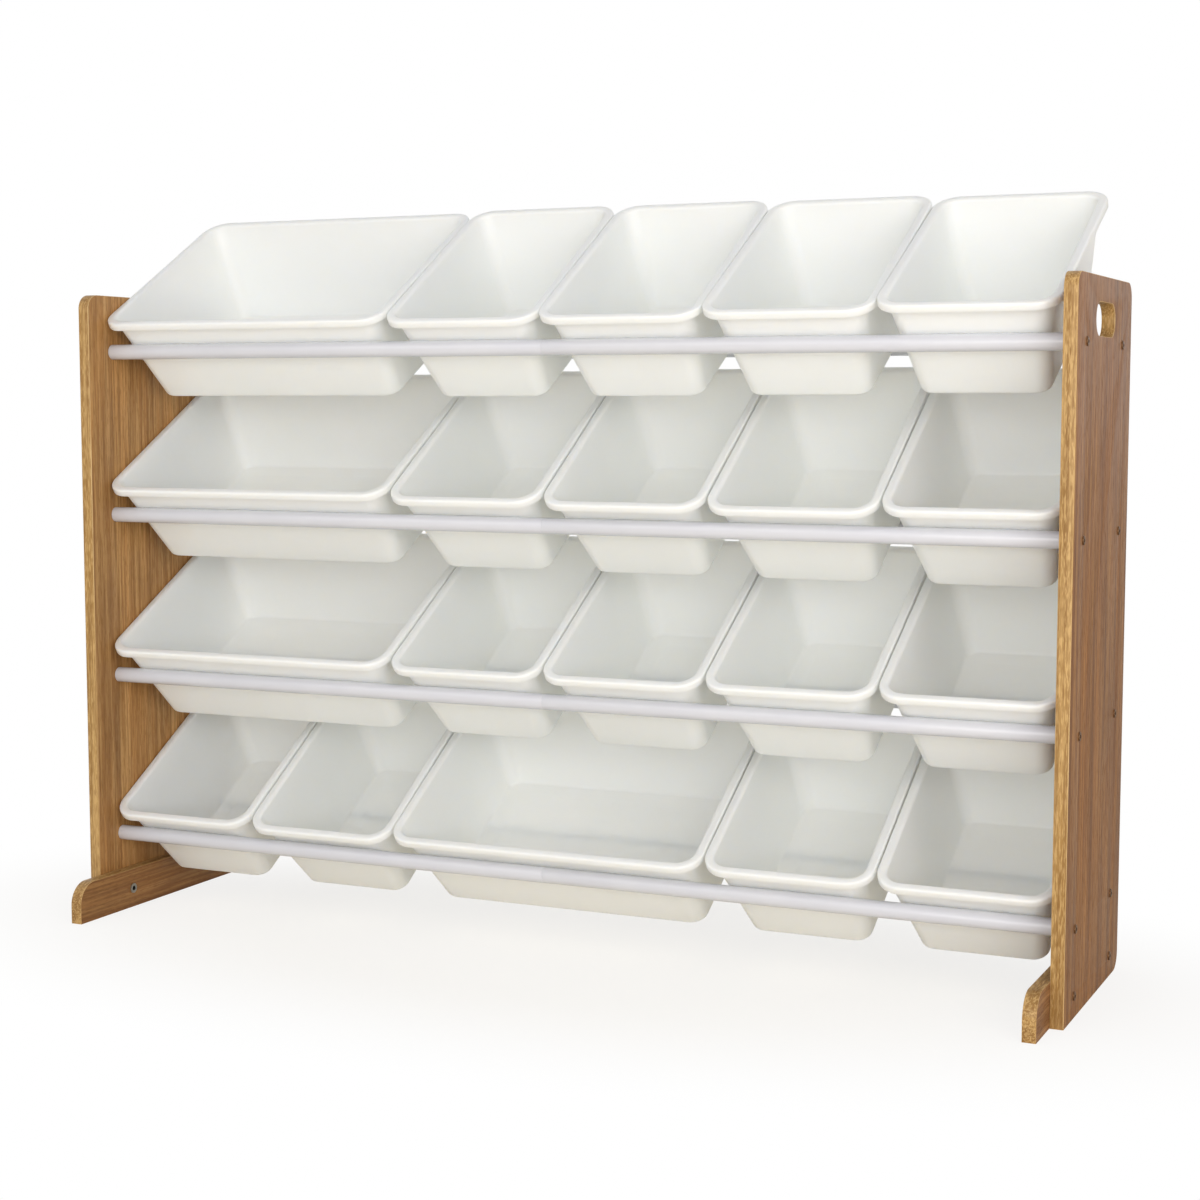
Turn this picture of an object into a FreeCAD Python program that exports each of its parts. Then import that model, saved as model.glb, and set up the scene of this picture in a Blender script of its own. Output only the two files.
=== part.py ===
"""Toy storage organizer with bins: two wood-grain side panels on feet, eight white cross rods and
twenty open-topped bins that hang tilted between a front and a rear rod.

Frame: millimetres, +Z up, front of the organizer towards -Y, right side towards +X.  The origin
is on the floor, in the middle of the overall width and of the overall depth.
"""
import FreeCAD, Part
import math
import os

import Sketcher

doc = FreeCAD.newDocument("organizer")


# ---------------------------------------------------------------------------------------------
# Driving dimensions
# ---------------------------------------------------------------------------------------------
SIZES = (
    # side panels and their hand slots
    ("panel_height", 787.0),
    ("panel_depth", 280.0),
    ("board_thickness", 15.0),
    ("panel_top_radius", 18.0),
    ("panel_heel_radius", 20.0),
    ("board_edge_ease", 1.0),
    ("slot_length", 98.0),
    ("slot_height", 36.0),
    ("slot_drop", 45.5),
    # feet, screwed to the inner faces of the panels
    ("foot_reach", 59.0),
    ("foot_length", 330.0),
    ("foot_height", 50.0),
    ("foot_nose_radius", 27.0),
    ("foot_bolt_height", 24.5),
    # cross rods: two half-length tubes on one line, joined over a dowel
    ("rod_diameter", 19.0),
    ("rod_wall", 1.5),
    ("rod_inset", 48.0),
    ("first_rod_height", 97.2),
    ("top_rod_drop", 70.6),
    ("rod_end_ease", 0.5),
    ("dowel_length", 120.0),
    ("plug_length", 28.0),
    ("rod_fit", 0.05),
    # bolts through the panels, plugs and sleeves that take them
    ("bolt_diameter", 6.0),
    ("bolt_hole_clearance", 0.3),
    ("bolt_reach", 20.0),
    ("bolt_fit", 0.05),
    ("bolt_head_diameter", 12.0),
    ("bolt_head_height", 2.6),
    ("bolt_head_crown", 8.0),
    ("hex_socket_width", 4.0),
    ("hex_socket_depth", 1.8),
    ("foot_bolt_reach", 9.0),
    ("sleeve_diameter", 9.0),
    ("sleeve_flange_diameter", 12.5),
    ("sleeve_flange_thickness", 1.2),
    ("sleeve_depth", 12.0),
    # bins
    ("small_bin_width", 201.2),
    ("large_bin_width", 404.8),
    ("bin_length", 292.0),
    ("bin_depth", 125.0),
    ("bin_wall", 2.0),
    ("bin_gap", 2.4),
    ("pushed_gap", 0.8),
    ("rim_overhang", 8.8),
    ("rim_thickness", 2.2),
    ("lip_height", 9.0),
    ("rim_corner_radius", 30.0),
    ("rim_edge_radius", 1.8),
    ("end_wall_draft", 27.4),
    ("side_wall_draft", 19.3),
    ("floor_corner_radius", 16.0),
    ("floor_edge_radius", 9.0),
    ("bin_tilt", 30.9),
    ("rest_gap", 0.3),
)

sheet = doc.addObject("Spreadsheet::Sheet", "Sizes")
for number, (alias, value) in enumerate(SIZES, start=1):
    sheet.set("A%d" % number, alias)
    sheet.set("B%d" % number, str(value))
    sheet.setAlias("B%d" % number, alias)
doc.recompute()


def ref(alias):
    """The way an expression names a cell of the sheet."""
    return "Sizes." + alias


def size(alias):
    """The number in a cell of the sheet."""
    return float(sheet.get(alias))


# What stands in each row: the gap between its bins, then the bins from left to right, each with
# how many degrees it leans forward beyond the common tilt, because bins put down by hand never
# settle alike.  Those of the top row are pushed together, towards the left.
ROWS = (
    ("pushed_gap",
     (("large", -1.0), ("small", 0.0), ("small", -0.5), ("small", -1.5), ("small", -3.0))),
    ("bin_gap",
     (("large", -0.5), ("small", 1.2), ("small", 2.0), ("small", 2.5), ("small", 1.2))),
    ("bin_gap",
     (("large", -1.2), ("small", 0.0), ("small", 0.0), ("small", -0.4), ("small", -0.9))),
    ("bin_gap",
     (("small", 0.8), ("small", 1.5), ("large", 0.5), ("small", 0.0), ("small", -0.3))),
)
ROW_COUNT = len(ROWS)
SIDES = (("left", -1), ("right", 1))
SLATS = ("front", "rear")

# Widths, as expressions.  The bins set the room between the panels.
FULL_ROW = [kind for kind, lean in ROWS[0][1]]
INNER_WIDTH = "(%d * %s + %d * %s + %d * %s)" % (
    FULL_ROW.count("small"), ref("small_bin_width"),
    FULL_ROW.count("large"), ref("large_bin_width"),
    len(FULL_ROW), ref("bin_gap"))
ROD_RADIUS = "(%s / 2)" % ref("rod_diameter")
ROD_BORE = "(%s - 2 * %s)" % (ref("rod_diameter"), ref("rod_wall"))


# How a bin sits on its two rods.  In the bin's own frame, +Y runs back along the rim from the
# middle of its front edge and +Z stands square to the rim.
WALL_SLOPE = "(%s / %s)" % (ref("end_wall_draft"), ref("bin_depth"))
WALL_STRETCH = "sqrt(1 + %s * %s)" % (WALL_SLOPE, WALL_SLOPE)


def tilt_of(lean):
    """The angle between the floor and a bin's rim."""
    return "((%s + %s) * 1 deg)" % (ref("bin_tilt"), repr(lean))


def front_rod_in_bin(lean):
    """Where the front rod's centre lies in the bin's own frame: (reach along Y, rise along Z).

    The floor touches the rear rod and the front wall touches the front rod, but for rest_gap.
    """
    tilt = tilt_of(lean)
    away = "(%s + %s)" % (ROD_RADIUS, ref("rest_gap"))
    span = "(%s - 2 * %s)" % (ref("panel_depth"), ref("rod_inset"))
    rise = "(%s * sin(%s) - %s - %s)" % (span, tilt, ref("bin_depth"), away)
    reach = "(%s - %s * %s - %s * %s)" % (
        ref("rim_overhang"), away, WALL_STRETCH, WALL_SLOPE, rise)
    return reach, rise


def heel_behind_front_rod():
    """How far the rounded heel of a bin, its rearmost place, lies behind the front rod's centre.

    along and up are where the centre of the rounding lies in the bin's own frame.
    """
    tilt = tilt_of(0.0)
    reach, rise = front_rod_in_bin(0.0)
    up = "(%s - %s)" % (ref("floor_edge_radius"), ref("bin_depth"))
    along = "(%s - %s + %s * %s - %s * %s)" % (
        ref("bin_length"), ref("rim_overhang"), WALL_SLOPE, up,
        ref("floor_edge_radius"), WALL_STRETCH)
    return "((%s - %s) * cos(%s) + (%s - %s) * sin(%s) + %s)" % (
        along, reach, tilt, rise, up, tilt, ref("floor_edge_radius"))


# Places along the depth, as expressions: the foot is the front end and a bin's heel the rear.
OVERALL_DEPTH = "(%s + %s + %s)" % (ref("foot_reach"), ref("rod_inset"), heel_behind_front_rod())
FOOT_FRONT = "(-%s / 2)" % OVERALL_DEPTH
PANEL_FRONT = "(%s + %s)" % (FOOT_FRONT, ref("foot_reach"))
ROD_PLACE = {
    "front": "(%s + %s)" % (PANEL_FRONT, ref("rod_inset")),
    "rear": "(%s + %s - %s)" % (PANEL_FRONT, ref("panel_depth"), ref("rod_inset")),
}

# Two lengths closer than this count as one when edges are picked by their place.
TOUCH = 0.01


# The rows share out the panel's height evenly, between the lowest rods and the highest.
ROW_PITCH = "((%s - %s - %s) / %d)" % (
    ref("panel_height"), ref("top_rod_drop"), ref("first_rod_height"), ROW_COUNT - 1)


def rod_height(row):
    """Height of the rods that carry a row, counted from the top row, 0, down."""
    return "(%s + %d * %s)" % (ref("first_rod_height"), ROW_COUNT - 1 - row, ROW_PITCH)


# ---------------------------------------------------------------------------------------------
# Shared ways of making bodies, sketches and placements
# ---------------------------------------------------------------------------------------------
FACING_X = FreeCAD.Rotation(FreeCAD.Vector(0, 1, 0), 90)
FACING_MINUS_X = FreeCAD.Rotation(FreeCAD.Vector(0, 1, 0), -90)


def new_body(label):
    body = doc.addObject("PartDesign::Body", label)
    body.Label = label
    return body


def origin_plane(body, role):
    return next(item for item in body.Origin.OriginFeatures if item.Role == role)


def new_sketch(body, name, role, offset=None):
    """A sketch on one of the body's own origin planes, moved along its normal by an expression."""
    sketch = body.newObject("Sketcher::SketchObject", name)
    sketch.AttachmentSupport = [(origin_plane(body, role), "")]
    sketch.MapMode = "FlatFace"
    if offset:
        sketch.setExpression("AttachmentOffset.Base.z", offset)
    return sketch


def place(thing, x="0", y="0", z="0", rotation=None):
    """Put a body or primitive at a place given by expressions, after turning it."""
    if rotation is not None:
        thing.Placement = FreeCAD.Placement(FreeCAD.Vector(), rotation)
    for axis, expression in (("x", x), ("y", y), ("z", z)):
        thing.setExpression("Placement.Base." + axis, expression)


def bind(sketch, constraint, expression):
    """Add a dimension to a sketch and tie it to the sheet."""
    index = sketch.addConstraint(constraint)
    sketch.setExpression("Constraints[%d]" % index, expression)


def circle(sketch, x, y, diameter):
    """A circle whose centre and diameter are expressions."""
    index = sketch.addGeometry(Part.Circle(FreeCAD.Vector(1, 1, 0), FreeCAD.Vector(0, 0, 1), 1))
    bind(sketch, Sketcher.Constraint("DistanceX", -1, 1, index, 3, 1.0), x)
    bind(sketch, Sketcher.Constraint("DistanceY", -1, 1, index, 3, 1.0), y)
    bind(sketch, Sketcher.Constraint("Diameter", index, 2.0), diameter)


def rounded_rectangle(sketch, box, radii, centred=False):
    """An upright rectangle.

    box holds four pairs (guess in mm, expression): left, right, bottom and top.  radii holds a
    pair or None for each corner: bottom left, bottom right, top right and top left.  A centred
    rectangle is symmetric about the sketch's vertical axis.
    """
    (left, left_at), (right, right_at), (bottom, bottom_at), (top, top_at) = box
    corners = ((left, bottom), (right, bottom), (right, top), (left, top))
    ways = ((1, 0), (0, 1), (-1, 0), (0, -1))
    starts = []
    ends = []
    for number, (x, y) in enumerate(corners):
        radius = radii[number][0] if radii[number] else 0.0
        way_in = ways[number - 1]
        way_out = ways[number]
        ends.append(FreeCAD.Vector(x - way_in[0] * radius, y - way_in[1] * radius, 0))
        starts.append(FreeCAD.Vector(x + way_out[0] * radius, y + way_out[1] * radius, 0))
    sides = []
    for number in range(4):
        line = Part.LineSegment(starts[number], ends[(number + 1) % 4])
        sides.append(sketch.addGeometry(line))
    for number in range(4):
        before = sides[number - 1]
        after = sides[number]
        if radii[number] is None:
            sketch.addConstraint(Sketcher.Constraint("Coincident", before, 2, after, 1))
            continue
        radius, radius_at = radii[number]
        way_out = ways[number]
        way_in = ways[number - 1]
        centre = starts[number] - FreeCAD.Vector(way_in[0], way_in[1], 0) * radius
        first = math.atan2(ends[number].y - centre.y, ends[number].x - centre.x)
        arc = Part.ArcOfCircle(
            Part.Circle(centre, FreeCAD.Vector(0, 0, 1), radius), first, first + math.pi / 2)
        corner = sketch.addGeometry(arc)
        sketch.addConstraint(Sketcher.Constraint("Tangent", before, 2, corner, 1))
        sketch.addConstraint(Sketcher.Constraint("Tangent", corner, 2, after, 1))
        bind(sketch, Sketcher.Constraint("Radius", corner, radius), radius_at)
    for number, kind in ((1, "Vertical"), (2, "Horizontal"), (3, "Vertical")):
        sketch.addConstraint(Sketcher.Constraint(kind, sides[number]))
    if centred:
        # this makes the bottom side level as well
        sketch.addConstraint(Sketcher.Constraint("Symmetric", sides[0], 1, sides[0], 2, -2))
        width = right - left
        bind(sketch, Sketcher.Constraint("DistanceX", sides[3], 1, sides[1], 1, width),
             "%s - %s" % (right_at, left_at))
    else:
        sketch.addConstraint(Sketcher.Constraint("Horizontal", sides[0]))
        bind(sketch, Sketcher.Constraint("DistanceX", -1, 1, sides[3], 1, left), left_at)
        bind(sketch, Sketcher.Constraint("DistanceX", -1, 1, sides[1], 1, right), right_at)
    bind(sketch, Sketcher.Constraint("DistanceY", -1, 1, sides[0], 1, bottom), bottom_at)
    bind(sketch, Sketcher.Constraint("DistanceY", -1, 1, sides[2], 1, top), top_at)


def level_slot(sketch, left, right, level, radius):
    """A level slot with round ends: the places of its two end centres, and its end radius.

    Each is a pair (guess in mm, expression).
    """
    upward = FreeCAD.Vector(0, 0, 1)
    quarter = math.pi / 2
    left_centre = FreeCAD.Vector(left[0], level[0], 0)
    right_centre = FreeCAD.Vector(right[0], level[0], 0)
    half_high = FreeCAD.Vector(0, radius[0], 0)
    left_end = sketch.addGeometry(Part.ArcOfCircle(
        Part.Circle(left_centre, upward, radius[0]), quarter, 3 * quarter))
    bottom = sketch.addGeometry(
        Part.LineSegment(left_centre - half_high, right_centre - half_high))
    right_end = sketch.addGeometry(Part.ArcOfCircle(
        Part.Circle(right_centre, upward, radius[0]), -quarter, quarter))
    top = sketch.addGeometry(Part.LineSegment(right_centre + half_high, left_centre + half_high))
    ring = (left_end, bottom, right_end, top)
    for number, piece in enumerate(ring):
        following = ring[(number + 1) % len(ring)]
        sketch.addConstraint(Sketcher.Constraint("Tangent", piece, 2, following, 1))
    sketch.addConstraint(Sketcher.Constraint("Horizontal", bottom))
    sketch.addConstraint(Sketcher.Constraint("Equal", left_end, right_end))
    bind(sketch, Sketcher.Constraint("Radius", left_end, radius[0]), radius[1])
    bind(sketch, Sketcher.Constraint("DistanceX", -1, 1, left_end, 3, left[0]), left[1])
    bind(sketch, Sketcher.Constraint("DistanceX", -1, 1, right_end, 3, right[0]), right[1])
    bind(sketch, Sketcher.Constraint("DistanceY", -1, 1, left_end, 3, level[0]), level[1])


def pad(body, name, sketch, length, reverse=False):
    feature = body.newObject("PartDesign::Pad", name)
    feature.Profile = sketch
    feature.Reversed = reverse
    feature.setExpression("Length", length)
    return feature


def cut_through(body, name, sketch, depth):
    """A pocket towards the solid; the volume before and after shows that it really cuts."""
    doc.recompute()
    before = body.Shape.Volume
    feature = body.newObject("PartDesign::Pocket", name)
    feature.Profile = sketch
    feature.Reversed = True
    feature.setExpression("Length", depth)
    doc.recompute()
    if body.Shape.Volume >= before:
        raise RuntimeError("%s cuts nothing" % name)
    return feature


def corner_depth(radius):
    """How far the middle of a quarter-round corner lies inside both sides."""
    return radius * (1 - 1 / math.sqrt(2)) + TOUCH


def ease(body, name, keep, radius):
    """Round the edges of a body that keep() picks."""
    doc.recompute()
    tip = body.Tip
    picked = []
    for number, edge in enumerate(tip.Shape.Edges, start=1):
        if keep(edge):
            picked.append("Edge%d" % number)
    if not picked:
        raise RuntimeError("%s finds no edge" % name)
    feature = body.newObject("PartDesign::Fillet", name)
    feature.Base = (tip, picked)
    feature.setExpression("Radius", radius)
    return feature


def cylinder(name, diameter, length):
    thing = doc.addObject("Part::Cylinder", name)
    thing.setExpression("Radius", "%s / 2" % diameter)
    thing.setExpression("Height", length)
    return thing


def join(name, first, second):
    thing = doc.addObject("Part::Fuse", name)
    thing.Base = first
    thing.Tool = second
    return thing


def cut(name, base, tool):
    thing = doc.addObject("Part::Cut", name)
    thing.Base = base
    thing.Tool = tool
    return thing


def group(label, solids):
    """Like fasteners, kept together as separate solids."""
    thing = doc.addObject("Part::Compound", label)
    thing.Label = label
    thing.Links = solids
    return thing


nodes = []


# ---------------------------------------------------------------------------------------------
# Side panels: upright boards, rounded at both top corners and at the heel, square at the toe
# ---------------------------------------------------------------------------------------------
FOOT_BOLTS = tuple(ROD_PLACE[slat] for slat in SLATS)
BOLT_HOLE = "(%s + 2 * %s)" % (ref("bolt_diameter"), ref("bolt_hole_clearance"))


def board_edges(width, height, radii):
    """Picks the long edges around a board's two faces, and leaves out the holes."""
    thickness = size("board_thickness")
    deepest_corner = corner_depth(max(radii))

    def keep(edge):
        box = edge.BoundBox
        if box.XLength > TOUCH:
            return False
        if min(abs(box.XMin), abs(box.XMin - thickness)) > TOUCH:
            return False
        middle = edge.valueAt((edge.FirstParameter + edge.LastParameter) / 2)
        inside_y = min(middle.y, width - middle.y)
        inside_z = min(middle.z, height - middle.z)
        return min(inside_y, inside_z) < TOUCH or max(inside_y, inside_z) < deepest_corner

    return keep


def side_panel(side, way):
    label = "%s_side_panel" % side
    body = new_body(label)
    outline = new_sketch(body, label + "_outline", "YZ_Plane")
    depth = size("panel_depth")
    height = size("panel_height")
    top = (size("panel_top_radius"), ref("panel_top_radius"))
    heel = (size("panel_heel_radius"), ref("panel_heel_radius"))
    rounded_rectangle(
        outline,
        ((0.0, "0"), (depth, ref("panel_depth")), (0.0, "0"), (height, ref("panel_height"))),
        (None, heel, top, top))
    pad(body, label + "_board", outline, ref("board_thickness"))

    # hand slot, below the middle of the top edge
    slot = new_sketch(body, label + "_slot", "YZ_Plane")
    half_straight = (size("slot_length") - size("slot_height")) / 2
    half_straight_at = "(%s - %s) / 2" % (ref("slot_length"), ref("slot_height"))
    level_slot(
        slot,
        (depth / 2 - half_straight, "%s / 2 - %s" % (ref("panel_depth"), half_straight_at)),
        (depth / 2 + half_straight, "%s / 2 + %s" % (ref("panel_depth"), half_straight_at)),
        (height - size("slot_drop"), "%s - %s" % (ref("panel_height"), ref("slot_drop"))),
        (size("slot_height") / 2, "%s / 2" % ref("slot_height")))
    cut_through(body, label + "_slot_cut", slot, ref("board_thickness"))

    # one hole for each rod and one for each foot bolt
    holes = new_sketch(body, label + "_holes", "YZ_Plane")
    for slat in SLATS:
        along = "%s - %s" % (ROD_PLACE[slat], PANEL_FRONT)
        for row in range(ROW_COUNT):
            circle(holes, along, rod_height(row), BOLT_HOLE)
        circle(holes, along, ref("foot_bolt_height"), BOLT_HOLE)
    cut_through(body, label + "_drilling", holes, ref("board_thickness"))

    ease(body, label + "_edges",
         board_edges(depth, height, (top[0], heel[0])), ref("board_edge_ease"))
    if way > 0:
        place(body, "%s / 2" % INNER_WIDTH, PANEL_FRONT)
    else:
        place(body, "-%s / 2 - %s" % (INNER_WIDTH, ref("board_thickness")), PANEL_FRONT)
    nodes.append(body)


for side, way in SIDES:
    side_panel(side, way)


# ---------------------------------------------------------------------------------------------
# Feet: low boards on the panels' inner faces, standing out in front to keep the rack from tipping
# ---------------------------------------------------------------------------------------------
def foot(side, way):
    label = "%s_foot" % side
    body = new_body(label)
    outline = new_sketch(body, label + "_outline", "YZ_Plane")
    length = size("foot_length")
    height = size("foot_height")
    nose = (size("foot_nose_radius"), ref("foot_nose_radius"))
    rounded_rectangle(
        outline,
        ((0.0, "0"), (length, ref("foot_length")), (0.0, "0"), (height, ref("foot_height"))),
        (None, None, nose, nose))
    pad(body, label + "_board", outline, ref("board_thickness"))

    holes = new_sketch(body, label + "_holes", "YZ_Plane")
    for along in FOOT_BOLTS:
        circle(holes, "%s - %s" % (along, FOOT_FRONT), ref("foot_bolt_height"),
               "%s + 2 * %s" % (ref("sleeve_diameter"), ref("bolt_fit")))
    cut_through(body, label + "_drilling", holes, ref("board_thickness"))

    ease(body, label + "_edges", board_edges(length, height, (nose[0],)), ref("board_edge_ease"))
    if way > 0:
        place(body, "%s / 2 - %s" % (INNER_WIDTH, ref("board_thickness")), FOOT_FRONT)
    else:
        place(body, "-%s / 2" % INNER_WIDTH, FOOT_FRONT)
    nodes.append(body)


for side, way in SIDES:
    foot(side, way)


# ---------------------------------------------------------------------------------------------
# Cross rods: each line is two tubes that butt at mid-span over a dowel, with a plug at each end
# ---------------------------------------------------------------------------------------------
def half_rod(slat, row, side, way):
    label = "%s_rod_row%d_%s" % (slat, row + 1, side)
    body = new_body(label)
    ring = new_sketch(body, label + "_ring", "YZ_Plane")
    circle(ring, "0", "0", ref("rod_diameter"))
    circle(ring, "0", "0", ROD_BORE)
    pad(body, label + "_tube", ring, "%s / 2" % INNER_WIDTH)
    radius = size("rod_diameter") / 2

    def outer_end_edge(edge):
        box = edge.BoundBox
        return abs(box.YMax - radius) < TOUCH and box.XLength < TOUCH

    ease(body, label + "_ends", outer_end_edge, ref("rod_end_ease"))
    start = "0" if way > 0 else "-%s / 2" % INNER_WIDTH
    place(body, start, ROD_PLACE[slat], rod_height(row))
    nodes.append(body)


def rod_dowel(slat, row):
    label = "%s_rod_dowel_row%d" % (slat, row + 1)
    dowel = cylinder(label, "(%s - 2 * %s)" % (ROD_BORE, ref("rod_fit")), ref("dowel_length"))
    dowel.Label = label
    place(dowel, "-%s / 2" % ref("dowel_length"), ROD_PLACE[slat], rod_height(row), FACING_X)
    nodes.append(dowel)


for slat in SLATS:
    for row in range(ROW_COUNT):
        for side, way in SIDES:
            half_rod(slat, row, side, way)
        rod_dowel(slat, row)


# ---------------------------------------------------------------------------------------------
# Fasteners: crowned bolts with a hex socket, plugs in the rod ends, flanged sleeves in the feet
# ---------------------------------------------------------------------------------------------
def bolt(name, way, y, z, reach):
    """A bolt from the outer face of a panel, reaching past its inner face."""
    facing = FACING_MINUS_X if way > 0 else FACING_X
    outer_face = "%d * (%s / 2 + %s)" % (way, INNER_WIDTH, ref("board_thickness"))
    head_top = "%s + %d * %s" % (outer_face, way, ref("bolt_head_height"))
    shank = cylinder(name + "_shank", ref("bolt_diameter"),
                     "%s + %s" % (ref("board_thickness"), reach))
    place(shank, outer_face, y, z, facing)
    head = doc.addObject("Part::Cone", name + "_head")
    head.setExpression("Radius1", "%s / 2" % ref("bolt_head_crown"))
    head.setExpression("Radius2", "%s / 2" % ref("bolt_head_diameter"))
    head.setExpression("Height", ref("bolt_head_height"))
    place(head, head_top, y, z, facing)
    socket = doc.addObject("Part::Prism", name + "_socket")
    socket.Polygon = 6
    socket.setExpression("Circumradius", "%s / sqrt(3)" % ref("hex_socket_width"))
    socket.setExpression("Height", ref("hex_socket_depth"))
    place(socket, head_top, y, z, facing)
    return cut(name, join(name + "_blank", head, shank), socket)


def rod_bolts(side, way):
    bolts = []
    for slat in SLATS:
        for row in range(ROW_COUNT):
            name = "%s_%s_bolt%d" % (side, slat, row + 1)
            bolts.append(bolt(name, way, ROD_PLACE[slat], rod_height(row), ref("bolt_reach")))
    nodes.append(group("rod_bolts_" + side, bolts))


def rod_plugs(side, way):
    """Threaded plugs, flush with the ends of the rods that meet this panel."""
    plugs = []
    facing = FACING_MINUS_X if way > 0 else FACING_X
    for slat in SLATS:
        for row in range(ROW_COUNT):
            name = "%s_%s_plug%d" % (side, slat, row + 1)
            place_of = ("%d * %s / 2" % (way, INNER_WIDTH), ROD_PLACE[slat], rod_height(row))
            blank = cylinder(name + "_blank", "(%s - 2 * %s)" % (ROD_BORE, ref("rod_fit")),
                             ref("plug_length"))
            place(blank, *place_of, facing)
            thread = cylinder(name + "_thread",
                              "(%s + 2 * %s)" % (ref("bolt_diameter"), ref("bolt_fit")),
                              "%s + 2 * %s" % (ref("bolt_reach"), ref("bolt_fit")))
            place(thread, *place_of, facing)
            plugs.append(cut(name, blank, thread))
    nodes.append(group("rod_end_plugs_" + side, plugs))


def foot_bolts(side, way):
    bolts = []
    for number, along in enumerate(FOOT_BOLTS, start=1):
        name = "%s_foot_bolt%d" % (side, number)
        bolts.append(bolt(name, way, along, ref("foot_bolt_height"), ref("foot_bolt_reach")))
    nodes.append(group("foot_bolts_" + side, bolts))


def foot_sleeves(side, way):
    """Flanged sleeve nuts, pushed in from the inner side of a foot."""
    sleeves = []
    facing = FACING_X if way > 0 else FACING_MINUS_X
    face = "%d * (%s / 2 - %s)" % (way, INNER_WIDTH, ref("board_thickness"))
    flange_front = "%s - %d * %s" % (face, way, ref("sleeve_flange_thickness"))
    for number, along in enumerate(FOOT_BOLTS, start=1):
        name = "%s_foot_sleeve%d" % (side, number)
        height = ref("foot_bolt_height")
        flange = cylinder(name + "_flange", ref("sleeve_flange_diameter"),
                          ref("sleeve_flange_thickness"))
        place(flange, flange_front, along, height, facing)
        barrel = cylinder(name + "_barrel", ref("sleeve_diameter"), ref("sleeve_depth"))
        place(barrel, face, along, height, facing)
        bore = cylinder(name + "_bore", "(%s + 2 * %s)" % (ref("bolt_diameter"), ref("bolt_fit")),
                        "%s + %s" % (ref("sleeve_flange_thickness"), ref("sleeve_depth")))
        place(bore, flange_front, along, height, facing)
        sleeves.append(cut(name, join(name + "_blank", flange, barrel), bore))
    nodes.append(group("foot_sleeves_" + side, sleeves))


for side, way in SIDES:
    rod_bolts(side, way)
    rod_plugs(side, way)
    foot_bolts(side, way)
    foot_sleeves(side, way)


# ---------------------------------------------------------------------------------------------
# Bins: moulded open boxes with drafted walls, round corners and a rim that turns down in a lip
# ---------------------------------------------------------------------------------------------
def bin_outline(body, name, width_alias, inset_x, inset_y, corner, offset):
    """A centred outline of the bin, drawn in from the rim by two insets (mm, expression)."""
    sketch = new_sketch(body, name, "XY_Plane", offset)
    half = size(width_alias) / 2 - inset_x[0]
    half_at = "(%s / 2 - %s)" % (ref(width_alias), inset_x[1])
    rounded_rectangle(
        sketch,
        ((-half, "-" + half_at), (half, half_at), inset_y,
         (size("bin_length") - inset_y[0], "%s - %s" % (ref("bin_length"), inset_y[1]))),
        (corner, corner, corner, corner), centred=True)
    return sketch


def total(*parts):
    """Adds (mm, expression) pairs, each given with a sign of 1 or -1."""
    number = sum(sign * size(alias) for sign, alias in parts)
    words = " + ".join("%d * %s" % (sign, ref(alias)) for sign, alias in parts)
    return number, "(%s)" % words


def loft(body, kind, name, low, high):
    feature = body.newObject(kind, name)
    feature.Profile = low
    feature.Sections = [high]
    feature.Ruled = True
    return feature


def level_edges(height):
    """Picks the edges that lie flat at one height."""
    def keep(edge):
        box = edge.BoundBox
        return box.ZLength < TOUCH and abs(box.ZMax - height) < TOUCH

    return keep


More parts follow.
